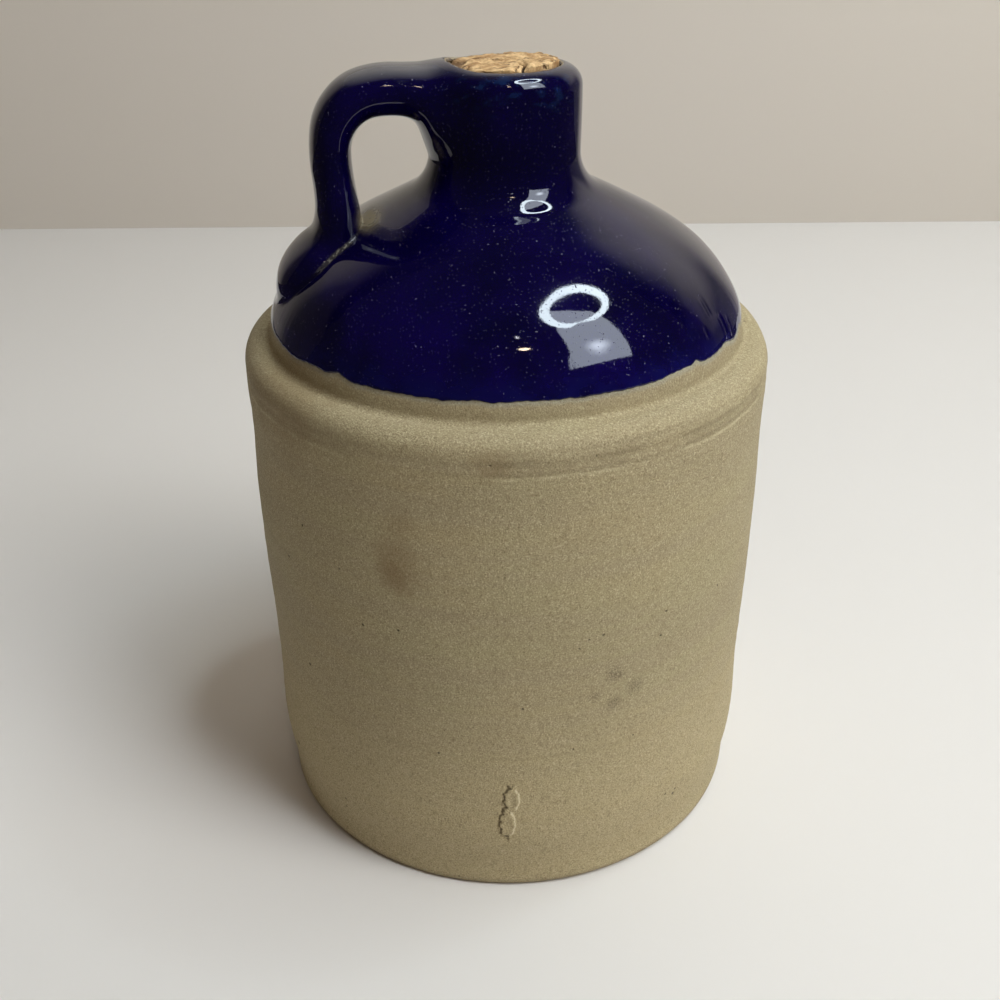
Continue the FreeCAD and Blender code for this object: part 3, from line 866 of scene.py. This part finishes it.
# ---------------------------------------------------------------- materials
class Shade:
    """Small helper for node trees: values may be numbers or other nodes' sockets."""

    def __init__(self, mat):
        self.mat = mat
        mat.use_nodes = True
        self.tree = mat.node_tree
        self.shader = self.tree.nodes["Principled BSDF"]
        self.metres = self.node("ShaderNodeTexCoord").outputs["Object"]
        self.mm = self.vmath("MULTIPLY", self.metres, (1000.0,) * 3)
        self.x, self.y, self.z = self.axes(self.mm)

    def node(self, kind, inputs=None, **props):
        n = self.tree.nodes.new(kind)
        for k, v in props.items():
            setattr(n, k, v)
        for k, v in (inputs or {}).items():
            self.put(n.inputs[k], v)
        return n

    def put(self, socket, value):
        if isinstance(value, bpy.types.NodeSocket):
            self.tree.links.new(value, socket)
        elif isinstance(value, tuple) and len(value) == 3 and socket.type == "RGBA":
            socket.default_value = value + (1.0,)
        else:
            socket.default_value = value

    def set(self, **values):
        """Inputs of the shader, with _ for a space in their names."""
        for k, v in values.items():
            self.put(self.shader.inputs[k.replace("_", " ")], v)

    def math(self, op, a, b=0.0, clamp=False):
        return self.node("ShaderNodeMath", {0: a, 1: b}, operation=op,
                         use_clamp=clamp).outputs[0]

    def plus(self, a, b):
        return self.math("ADD", a, b)

    def most(self, a, b, clamp=False):
        return self.math("MAXIMUM", a, b, clamp)

    def times(self, first, *rest):
        for v in rest:
            first = self.math("MULTIPLY", first, v)
        return first

    def vmath(self, op, a, b=(0.0, 0.0, 0.0)):
        n = self.node("ShaderNodeVectorMath", {0: a, 1: b}, operation=op)
        return n.outputs["Value" if op in ("LENGTH", "DISTANCE") else "Vector"]

    def noise(self, size, detail=2.0, rough=0.5, stretch=None, offset=0.0):
        """Noise whose features are about size mm; stretch squeezes the axes."""
        at = self.vmath("MULTIPLY", self.mm, stretch) if stretch else self.mm
        if offset:
            at = self.vmath("ADD", at, (offset, offset * 0.7, -offset))
        return self.node("ShaderNodeTexNoise", {
            "Vector": at, "Scale": 1.0 / size, "Detail": detail,
            "Roughness": rough}).outputs["Fac"]

    def dots(self, size, dot, soft, skip, sure, much=1.0, at=None):
        """Dots in cells of size mm; cells whose lot is under skip are left out."""
        n = self.node("ShaderNodeTexVoronoi", {"Vector": at or self.mm, "Scale": 1.0 / size})
        return self.times(self.ramp(n.outputs["Distance"], dot, soft),
                          self.ramp(self.axes(n.outputs["Color"])[0], skip, sure, 0.0, much))

    def ramp(self, x, a, b, low=0.0, high=1.0):
        """Smoothly from low at a to high at b."""
        return self.node("ShaderNodeMapRange", {
            "Value": x, "From Min": a, "From Max": b, "To Min": low, "To Max": high},
            interpolation_type="SMOOTHSTEP").outputs["Result"]

    def mix(self, share, a, b):
        return self.node("ShaderNodeMix", {0: share, 6: a, 7: b}, data_type="RGBA",
                         clamp_factor=True).outputs[2]

    def stored(self, name):
        return self.node("ShaderNodeAttribute", attribute_name=name).outputs["Fac"]

    def axes(self, at):
        return self.node("ShaderNodeSeparateXYZ", {0: at}).outputs

    def bump(self, height, distance):
        return self.node("ShaderNodeBump", {
            "Height": height, "Distance": distance * MM, "Strength": 1.0}).outputs["Normal"]


def glaze_paint():
    m = Shade(bpy.data.materials.new("cobalt_glaze"))
    radius = m.vmath("LENGTH", m.vmath("MULTIPLY", m.mm, (1.0, 1.0, 0.0)))
    edge, meet = m.stored("edge"), m.stored("meet")
    broad, mid = m.noise(22.0, 3.0), m.noise(5.0, 3.0, offset=31.0)
    deep, violet = (0.0012, 0.0004, 0.0170), (0.0030, 0.0005, 0.042)
    col = m.mix(m.ramp(broad, 0.38, 0.66), deep, violet)
    col = m.mix(m.ramp(mid, 0.5, 0.8, 0.0, 0.35), col, (0.0016, 0.0022, 0.030))
    col = m.mix(m.ramp(m.z, 156.0, 170.0, 0.0, 0.45), col, deep)
    # thinner along its lower edge, where the blue is lighter
    thin = m.times(m.ramp(edge, 7.0, 0.3), m.ramp(mid, 0.3, 0.62, 0.25, 1.0), 0.7)
    col = m.mix(thin, col, (0.0035, 0.0035, 0.062))
    # runs of paler blue round the lip
    streak = m.noise(3.2, 3.0, stretch=(1.0, 1.0, 1.6), offset=12.0)
    lip = m.times(m.ramp(m.z, 197.0, 202.5), m.ramp(radius, 21.0, 17.5),
                  m.ramp(streak, 0.5, 0.72), 0.65)
    col = m.mix(lip, col, (0.0065, 0.021, 0.072))
    # crease where the handle's tail joins the dome: painted shade in the crease, with bare clay
    # glinting in it
    near = m.times(m.ramp(m.math("ABSOLUTE", meet), 1.1, 0.35), m.ramp(m.y, 2.0, -6.0),
                   m.ramp(m.x, -30.0, -36.0))
    col = m.mix(m.times(near, m.ramp(m.z, 156.0, 162.0), 0.6), col, (0.0015, 0.0010, 0.004))
    glints = m.ramp(m.noise(0.8, 2.0, 0.6, offset=27.0), 0.50, 0.68, 0.15, 0.8)
    seam = m.times(m.ramp(m.z, 161.5, 165.0), m.ramp(m.z, 170.5, 168.0), glints, near)
    # tan patch in the corner between the handle's leg and the dome
    oval = m.vmath("DISTANCE", m.vmath("MULTIPLY", m.mm, (1.0, 0.42, 1.0)), (-35.0, -0.5, 172.0))
    patch = m.times(m.ramp(oval, 5.2, 0.8),
                    m.ramp(m.noise(1.5, 3.0, offset=44.0), 0.30, 0.55, 0.55, 1.0))
    col = m.mix(m.times(patch, 0.88), col, (0.250, 0.205, 0.108))
    # dusty film on the handle's level top
    level = m.axes(m.node("ShaderNodeNewGeometry").outputs["Normal"])[2]
    film = m.times(m.ramp(level, 0.72, 0.97), m.ramp(m.z, 201.0, 206.0),
                   m.ramp(m.x, -14.0, -20.0, 0.22, 1.0), m.ramp(broad, 0.3, 0.6, 0.7, 1.0))
    col = m.mix(m.times(film, 0.38), col, (0.235, 0.225, 0.205))
    col = m.mix(m.times(seam, 0.8), col, (0.250, 0.225, 0.160))
    # painted shade with a cork stain in the socket, and a ring of bare clay round the mouth
    col = m.mix(m.ramp(radius, 14.5, 14.0), col, (0.080, 0.050, 0.026))
    grain = m.noise(0.9, 3.0, 0.6, offset=5.0)
    ring = m.times(m.ramp(m.plus(radius, m.times(grain, 0.7)), 15.0, 14.55),
                   m.ramp(m.z, 206.0, 206.6), m.ramp(radius, 13.85, 14.15))
    col = m.mix(ring, col, m.mix(grain, (0.24, 0.185, 0.110), (0.40, 0.32, 0.205)))
    bare = m.most(ring, seam)
    # dust and lint caught on the glaze: cell size, dot size, share left out, strength, stretch
    lit = None
    even = (1.0, 1.0, 1.0)
    for k, (size, dot, skip, much, stretch) in enumerate((
            (2.3, 0.090, 0.50, 1.0, even), (1.1, 0.125, 0.40, 0.60, even),
            (0.7, 0.18, 0.40, 0.40, even), (1.8, 0.085, 0.45, 0.8, (0.9, 0.32, 0.5)),
            (1.6, 0.085, 0.45, 0.7, (0.32, 0.9, 0.7)))):
        at = m.vmath("MULTIPLY", m.vmath("ADD", m.mm, (9.0 * k, 4.0 * k, -5.0 * k)), stretch)
        fleck = m.dots(size, dot, dot * 0.45, skip, skip + 0.3, much, at)
        lit = fleck if lit is None else m.most(lit, fleck)
    col = m.mix(m.times(lit, 0.24), col, (0.33, 0.31, 0.37))
    rough = m.ramp(m.noise(9.0, 4.0, 0.6, offset=80.0), 0.35, 0.75, 0.035, 0.075)
    rough = m.plus(rough, m.times(lit, 0.28))
    for part, least in ((bare, 0.75), (patch, 0.45), (film, 0.22)):
        rough = m.most(rough, m.times(part, least), clamp=True)
    height = m.plus(m.times(m.noise(0.45, 2.0, offset=3.0), 0.022), m.times(lit, 0.5))
    height = m.plus(height, m.times(bare, grain, 1.2))
    m.set(Base_Color=col, Roughness=rough, Normal=m.bump(height, 0.12), IOR=1.52)
    return m.mat


# stains on the clay: place, inner and outer reach in mm, strength
BROWN_STAINS = (((-37.2, -58.9, 101.0), 0.0, 6.5, 0.42), ((-36.0, -59.8, 103.0), 1.0, 10.0, 0.35),
                ((-37.6, -58.7, 108.0), 0.5, 8.0, 0.32), ((-36.6, -59.3, 116.0), 0.5, 7.0, 0.26),
                ((-15.9, -68.0, 134.4), 0.5, 6.0, 0.30))
GREY_SMUDGES = (((15.4, -68.1, 71.4), 0.2, 3.6, 0.62), ((21.6, -66.4, 65.6), 0.2, 4.2, 0.45),
                ((15.2, -68.2, 62.0), 0.2, 3.6, 0.52), ((10.5, -69.0, 66.0), 0.2, 3.0, 0.40))
BROAD_STAINS = (((-60.0, -30.0, 141.0), 4.0, 26.0, 0.35),)
BROWN, GREY = (0.215, 0.135, 0.055), (0.155, 0.120, 0.070)
# painted shade along the lines left by the potter's wheel, and a painted highlight along one
# ridge: height, half width, strength, colour
WHEEL_GROOVE_SHADE, WHEEL_RIDGE_HIGHLIGHT = (0.230, 0.180, 0.098), (0.640, 0.560, 0.350)
WHEEL_SHADE_LINES = ((133.6, 3.6, 0.24, WHEEL_GROOVE_SHADE), (131.6, 1.2, 0.20, WHEEL_GROOVE_SHADE),
               (134.4, 0.9, 0.18, WHEEL_GROOVE_SHADE), (136.6, 0.7, 0.16, WHEEL_GROOVE_SHADE),
               (130.2, 0.55, 0.36, WHEEL_RIDGE_HIGHLIGHT), (92.6, 0.8, 0.18, WHEEL_GROOVE_SHADE),
               (47.2, 0.8, 0.18, WHEEL_GROOVE_SHADE))
LINE_WOBBLE = 1.6


def clay_paint():
    m = Shade(bpy.data.materials.new("bare_stoneware"))
    edge, scar = m.stored("edge"), m.stored("scar")
    fine = m.noise(0.42, 3.0, 0.68)
    grit = m.noise(1.5, 3.0, 0.6, offset=17.0)
    mid = m.noise(9.0, 4.0, 0.55, offset=40.0)
    broad = m.noise(34.0, 3.0, 0.5, offset=70.0)
    bands = m.noise(7.0, 4.0, 0.6, stretch=(0.06, 0.06, 1.0), offset=9.0)
    col = m.mix(m.ramp(broad, 0.32, 0.68), (0.458, 0.356, 0.174), (0.452, 0.405, 0.206))
    col = m.mix(m.ramp(mid, 0.5, 0.78, 0.0, 0.45), col, (0.375, 0.295, 0.160))
    col = m.mix(m.ramp(bands, 0.36, 0.64, 0.0, 0.30), (0.385, 0.315, 0.185), col)
    # a little paler towards the foot
    col = m.mix(m.ramp(m.z, 80.0, 20.0, 0.0, 0.5), col, (0.575, 0.462, 0.258))
    # speckle of the fired clay
    col = m.mix(m.ramp(fine, 0.51, 0.70, 0.0, 0.85), col, (0.205, 0.155, 0.078))
    col = m.mix(m.ramp(fine, 0.49, 0.30, 0.0, 0.75), col, (0.680, 0.590, 0.370))
    col = m.mix(m.ramp(grit, 0.56, 0.74, 0.0, 0.42), col, (0.250, 0.195, 0.108))
    # patches and grit that break up the painted wheel-line shade and highlight
    wheel_shade_patches = m.ramp(m.noise(18.0, 3.0, 0.6, offset=120.0), 0.40, 0.58)
    wheel_shade_grit = m.ramp(grit, 0.36, 0.58, 0.45, 1.25)
    # painted shade along the wheel's grooves and a painted highlight along one ridge
    for high, half, much, tint in WHEEL_SHADE_LINES:
        off = m.plus(m.math("SUBTRACT", m.z, high + LINE_WOBBLE / 2), m.times(mid, -LINE_WOBBLE))
        off = m.math("ABSOLUTE", m.plus(off, LINE_WOBBLE / 2))
        col = m.mix(m.times(m.ramp(off, half, half * 0.2, 0.0, much), wheel_shade_patches, wheel_shade_grit), col, tint)
    # iron spots, and painted shade in small pits
    dot = m.dots(4.2, 0.11, 0.05, 0.90, 0.94)
    for at, high, wide in PITS:
        a = math.radians(at)
        place = (WALL_R * math.cos(a), WALL_R * math.sin(a), high)
        hole = m.plus(m.vmath("DISTANCE", m.mm, place), m.times(grit, wide * 0.8))
        dot = m.most(dot, m.ramp(hole, wide * 1.25, wide * 0.8))
    col = m.mix(m.times(dot, 0.75), col, (0.060, 0.042, 0.025))
    # browner band of painted shade on the clay just under the glaze, and a pale line of run-out
    # at its edge
    under_glaze_shade = m.times(m.ramp(m.z, 141.2, 142.6), m.ramp(edge, -0.4, -1.6), 0.26)
    col = m.mix(under_glaze_shade, col, (0.250, 0.195, 0.110))
    line = m.times(m.ramp(edge, -1.5, -0.5), m.ramp(fine, 0.7, 0.4, 0.5, 1.0), 0.50)
    col = m.mix(line, col, (0.300, 0.310, 0.270))
    speckle = m.ramp(fine, 0.42, 0.58, 0.35, 1.3)
    for stains, tint in ((BROWN_STAINS, BROWN), (GREY_SMUDGES, GREY), (BROAD_STAINS, BROWN)):
        for place, inner, outer, much in stains:
            d = m.vmath("DISTANCE", m.mm, place)
            d = m.plus(d, m.times(m.math("SUBTRACT", grit, 0.5), outer * 0.9))
            d = m.plus(d, m.times(m.math("SUBTRACT", mid, 0.5), outer * 1.1))
            share = m.ramp(d, outer, inner, 0.0, much)
            col = m.mix(m.times(share, speckle) if tint is GREY else share, col, tint)
    # painted shade on the flake scar's shaded side, and a painted highlight on its lit side
    col = m.mix(m.ramp(scar, 0.15, 0.80, 0.0, 0.62), col, (0.085, 0.060, 0.030))
    col = m.mix(m.ramp(scar, -0.15, -0.75, 0.0, 0.55), col, (0.80, 0.72, 0.50))
    # darker at the very foot
    col = m.mix(m.ramp(m.z, 3.2, 0.6, 0.0, 0.45), col, (0.215, 0.165, 0.100))
    height = m.plus(m.times(fine, 0.6), m.times(grit, 0.5))
    height = m.math("SUBTRACT", height, m.times(dot, 0.8))
    height = m.plus(height, m.times(bands, 0.5))
    m.set(Base_Color=col, Roughness=m.ramp(fine, 0.3, 0.7, 0.62, 0.80),
          Normal=m.bump(height, 0.45), Specular_IOR_Level=0.35)
    return m.mat


def cork_paint():
    m = Shade(bpy.data.materials.new("cork_bark"))
    grain = m.noise(0.8, 3.0, 0.6)
    lump = m.noise(3.4, 3.0, 0.55, offset=21.0)
    bark = m.ramp(m.noise(2.2, 3.0, 0.6, stretch=(0.5, 1.6, 0.8), offset=55.0), 0.565, 0.665)
    col = m.mix(m.ramp(lump, 0.36, 0.66), (0.450, 0.258, 0.110), (0.790, 0.545, 0.280))
    col = m.mix(m.ramp(grain, 0.55, 0.75, 0.0, 0.55), col, (0.290, 0.150, 0.058))
    col = m.mix(m.ramp(grain, 0.45, 0.28, 0.0, 0.45), col, (0.800, 0.600, 0.330))
    col = m.mix(m.times(bark, 0.80), col, (0.170, 0.082, 0.036))
    # painted shade at the cork's sunk left end
    left_end_shade = m.ramp(m.plus(m.x, m.times(lump, 8.0)), -2.5, -8.0, 0.0, 0.55)
    col = m.mix(left_end_shade, col, (0.230, 0.118, 0.050))
    # painted shade lower down the cork, where it sinks into the mouth
    col = m.mix(m.ramp(m.z, 207.8, 206.6, 0.0, 0.55), col, (0.110, 0.055, 0.025))
    # painted shade in the cracks
    col = m.mix(m.ramp(m.stored("crack"), 0.12, 0.7, 0.0, 0.92), col, (0.030, 0.014, 0.007))
    m.set(Base_Color=col, Roughness=m.ramp(grain, 0.3, 0.7, 0.72, 0.9),
          Normal=m.bump(m.plus(grain, m.times(bark, -1.4)), 0.4), Specular_IOR_Level=0.25)
    return m.mat


for ob, paint, node, slot in ((glaze, glaze_paint(), "jug", "stoneware"),
                              (clay, clay_paint(), "jug", "stoneware"),
                              (cork, cork_paint(), "cork", "cork")):
    ob.data.materials.append(paint)
    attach(ob, "root")
    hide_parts(node)

# ---------------------------------------------------------------- floor and wall
scene = bpy.context.scene
scene.view_settings.view_transform = "Standard"
TURN = Matrix.Rotation(FIT_TURN, 4, "Z")


def heading(az, el):
    """Direction in the CAD frame; azimuth 0 is away from the camera, 90 to its right."""
    a, e = math.radians(az), math.radians(el)
    return TURN @ Vector((math.sin(a) * math.cos(e), math.cos(a) * math.cos(e), math.sin(e)))


def plain(name, colour, rough, glow=None):
    """Plain material; glow is a colour and a strength."""
    mat = bpy.data.materials.new(name)
    mat.use_nodes = True
    shader = mat.node_tree.nodes["Principled BSDF"]
    shader.inputs["Base Color"].default_value = colour + (1,)
    shader.inputs["Roughness"].default_value = rough
    if glow:
        shader.inputs["Emission Color"].default_value = glow[0] + (1,)
        shader.inputs["Emission Strength"].default_value = glow[1]
    return mat


def stage_mesh(name, pts, faces, mat):
    me = bpy.data.meshes.new(name)
    me.from_pydata(pts, [], faces)
    ob = bpy.data.objects.new(name, me)
    scene.collection.objects.link(ob)
    me.materials.append(mat)
    return ob


def sheet(name, corners, mat):
    return stage_mesh(name, [tuple(TURN @ Vector(c)) for c in corners], [(0, 1, 2, 3)], mat)


FLOOR, WALL, BLACK = (0.745, 0.712, 0.670), (0.66, 0.60, 0.525), (0, 0, 0)
WALL_Y, WALL_HALF, WALL_TOP = 0.53, 2.5, 1.6
# reach of the floor, and of its near part: left and right ends, and their front edges
FLOOR_END, LEFT, RIGHT, LEFT_FRONT, RIGHT_FRONT = 3.0, -0.40, 0.42, -0.11, -0.26
# the near floor shows in the glaze; the far floor is left out of its reflections, and far off
# it glows with painted light, as pale as the room behind it
near_paint = plain("floor_white", FLOOR, 0.5)
far_paint = plain("floor_far", FLOOR, 0.5, ((0.50, 0.465, 0.430), 0.0))
far_off = Shade(far_paint)
far_off.set(Emission_Strength=far_off.ramp(far_off.vmath("LENGTH", far_off.metres), 0.6, 2.4))
for name, paint, tiles in (
        ("floor_near", near_paint, ((LEFT, 0.0, LEFT_FRONT, WALL_Y),
                                    (0.0, RIGHT, RIGHT_FRONT, WALL_Y))),
        ("floor_far", far_paint, ((-FLOOR_END, FLOOR_END, -FLOOR_END, RIGHT_FRONT),
                                  (-FLOOR_END, 0.0, RIGHT_FRONT, LEFT_FRONT),
                                  (-FLOOR_END, LEFT, LEFT_FRONT, FLOOR_END),
                                  (RIGHT, FLOOR_END, RIGHT_FRONT, FLOOR_END),
                                  (LEFT, RIGHT, WALL_Y, FLOOR_END)))):
    for k, (a, b, c, d) in enumerate(tiles):
        tile = sheet("%s_%d" % (name, k), [(a, c, 0), (b, c, 0), (b, d, 0), (a, d, 0)], paint)
        tile.visible_glossy = paint is near_paint


def wall(name, y, mat):
    return sheet(name, [(-WALL_HALF, y, 0), (WALL_HALF, y, 0), (WALL_HALF, y, WALL_TOP),
                        (-WALL_HALF, y, WALL_TOP)], mat)


wall("backdrop", WALL_Y, plain("backdrop_grey", WALL, 0.9)).visible_glossy = False
# the glaze reflects a wall that fades out above and to either side
faded_paint = plain("backdrop_faded", WALL, 0.9)
fade = Shade(faded_paint)
across, _, up = fade.axes(fade.metres)
shade = fade.ramp(up, 0.51, 1.18)
for start, end, much in ((-0.42, -0.80, 0.80), (0.55, 1.40, 0.50), (1.15, 1.60, 0.90)):
    shade = fade.most(shade, fade.ramp(across, start, end, 0.0, much))
low_right = fade.times(fade.ramp(across, 0.40, 0.60), fade.ramp(up, 0.50, 0.25), 0.80)
fade.set(Base_Color=fade.mix(fade.most(shade, low_right), WALL, (0.02, 0.02, 0.02)))
faded = wall("backdrop_faded", WALL_Y - 0.002, faded_paint)
faded.visible_camera = faded.visible_diffuse = faded.visible_shadow = False

# ---------------------------------------------------------------- light
LAMP_MID = Vector((0, 0, 0.15))      # the lamps' headings are taken from here


def ring_lamp(az, el, far, outer, inner, squash, glow):
    """Flat glowing ring hung level over the jug."""
    mid = heading(az, el) * far + LAMP_MID
    turn = TURN @ Matrix.Rotation(math.radians(90 - az), 4, "Z")
    pts, faces, n = [], [], 64
    for k in range(n):
        a = 2 * math.pi * k / n
        for r in (outer, inner):
            pts.append(tuple(mid + turn @ Vector((math.cos(a) * r * squash,
                                                  math.sin(a) * r, 0))))
        j = (k + 1) % n
        faces.append((2 * k, 2 * k + 1, 2 * j + 1, 2 * j))
    paint = plain("ring_glow", BLACK, 1.0, glow)
    stage_mesh("ring_lamp", pts, faces, paint).visible_camera = False


def panel(name, corners, far, colour, glow, hot, hot_glow, hot_size):
    """Glowing four-sided panel whose corners lie at headings from the jug, with a hot spot."""
    pts = [tuple(heading(az, el) * far + LAMP_MID) for az, el in corners]
    paint = plain(name + "_glow", BLACK, 1.0, (colour, glow))
    shade = Shade(paint)
    gap = shade.vmath("DISTANCE", shade.metres, tuple(heading(*hot) * far + LAMP_MID))
    shade.set(Emission_Strength=shade.ramp(gap, hot_size, 0.0, glow, hot_glow))
    stage_mesh(name, pts, [(0, 1, 2, 3)], paint).visible_camera = False


def lamp(name, az, el, far, shape, wide, tall, watts, colour):
    """Area lamp at a heading, turned towards the jug."""
    data = bpy.data.lights.new(name, "AREA")
    data.shape, data.size, data.size_y = shape, wide, tall
    data.energy, data.color = watts, colour
    ob = bpy.data.objects.new(name, data)
    scene.collection.objects.link(ob)
    out = heading(az, el)
    ob.location = out * far + LAMP_MID
    ob.rotation_mode = "QUATERNION"
    ob.rotation_quaternion = out.to_track_quat("Z", "Y")
    return ob


def small_lamp(name, az, el, wide, tall, radiance, colour):
    lamp(name, az, el, 1.5, "ELLIPSE", wide, tall, radiance * math.pi * wide * tall, colour)


ring_lamp(101.5, 67.6, 1.3, 0.350, 0.264, 0.77, ((0.80, 0.92, 1.0), 21.0))
panel("window", ((126, 77), (98, 62.5), (113.6, 30.0), (146, 33.6)), 1.5,
      (0.80, 0.88, 1.0), 6.0, (126.5, 43.0), 34.0, 0.20)
key = lamp("key", 122, 44, 1.2, "RECTANGLE", 0.55, 0.55, 5.0, (1.0, 0.94, 0.81))
key.visible_glossy = False           # the panel above is what the glaze reflects
small_lamp("lamp_warm", 168, 53, 0.11, 0.045, 30.0, (1.0, 0.78, 0.55))
small_lamp("lamp_white", 169.7, 61.7, 0.030, 0.050, 15.0, (0.92, 0.92, 1.0))

# the room: dim all round, darker still in the glaze, and pale only where the camera
# looks past the floor
world = bpy.data.worlds.new("world")
scene.world = world
world.use_nodes = True
tree = world.node_tree
tree.nodes.clear()
path = tree.nodes.new("ShaderNodeLightPath")
shown = None
for colour, ray in (((0.115, 0.094, 0.072), None), ((0.030, 0.027, 0.030), "Is Glossy Ray"),
                    ((0.50, 0.46, 0.42), "Is Camera Ray")):
    node = tree.nodes.new("ShaderNodeBackground")
    node.inputs["Color"].default_value = colour + (1,)
    if ray:
        either = tree.nodes.new("ShaderNodeMixShader")
        tree.links.new(path.outputs[ray], either.inputs[0])
        tree.links.new(shown.outputs[0], either.inputs[1])
        tree.links.new(node.outputs[0], either.inputs[2])
        node = either
    shown = node
tree.links.new(shown.outputs[0], tree.nodes.new("ShaderNodeOutputWorld").inputs["Surface"])

bpy.context.view_layer.update()
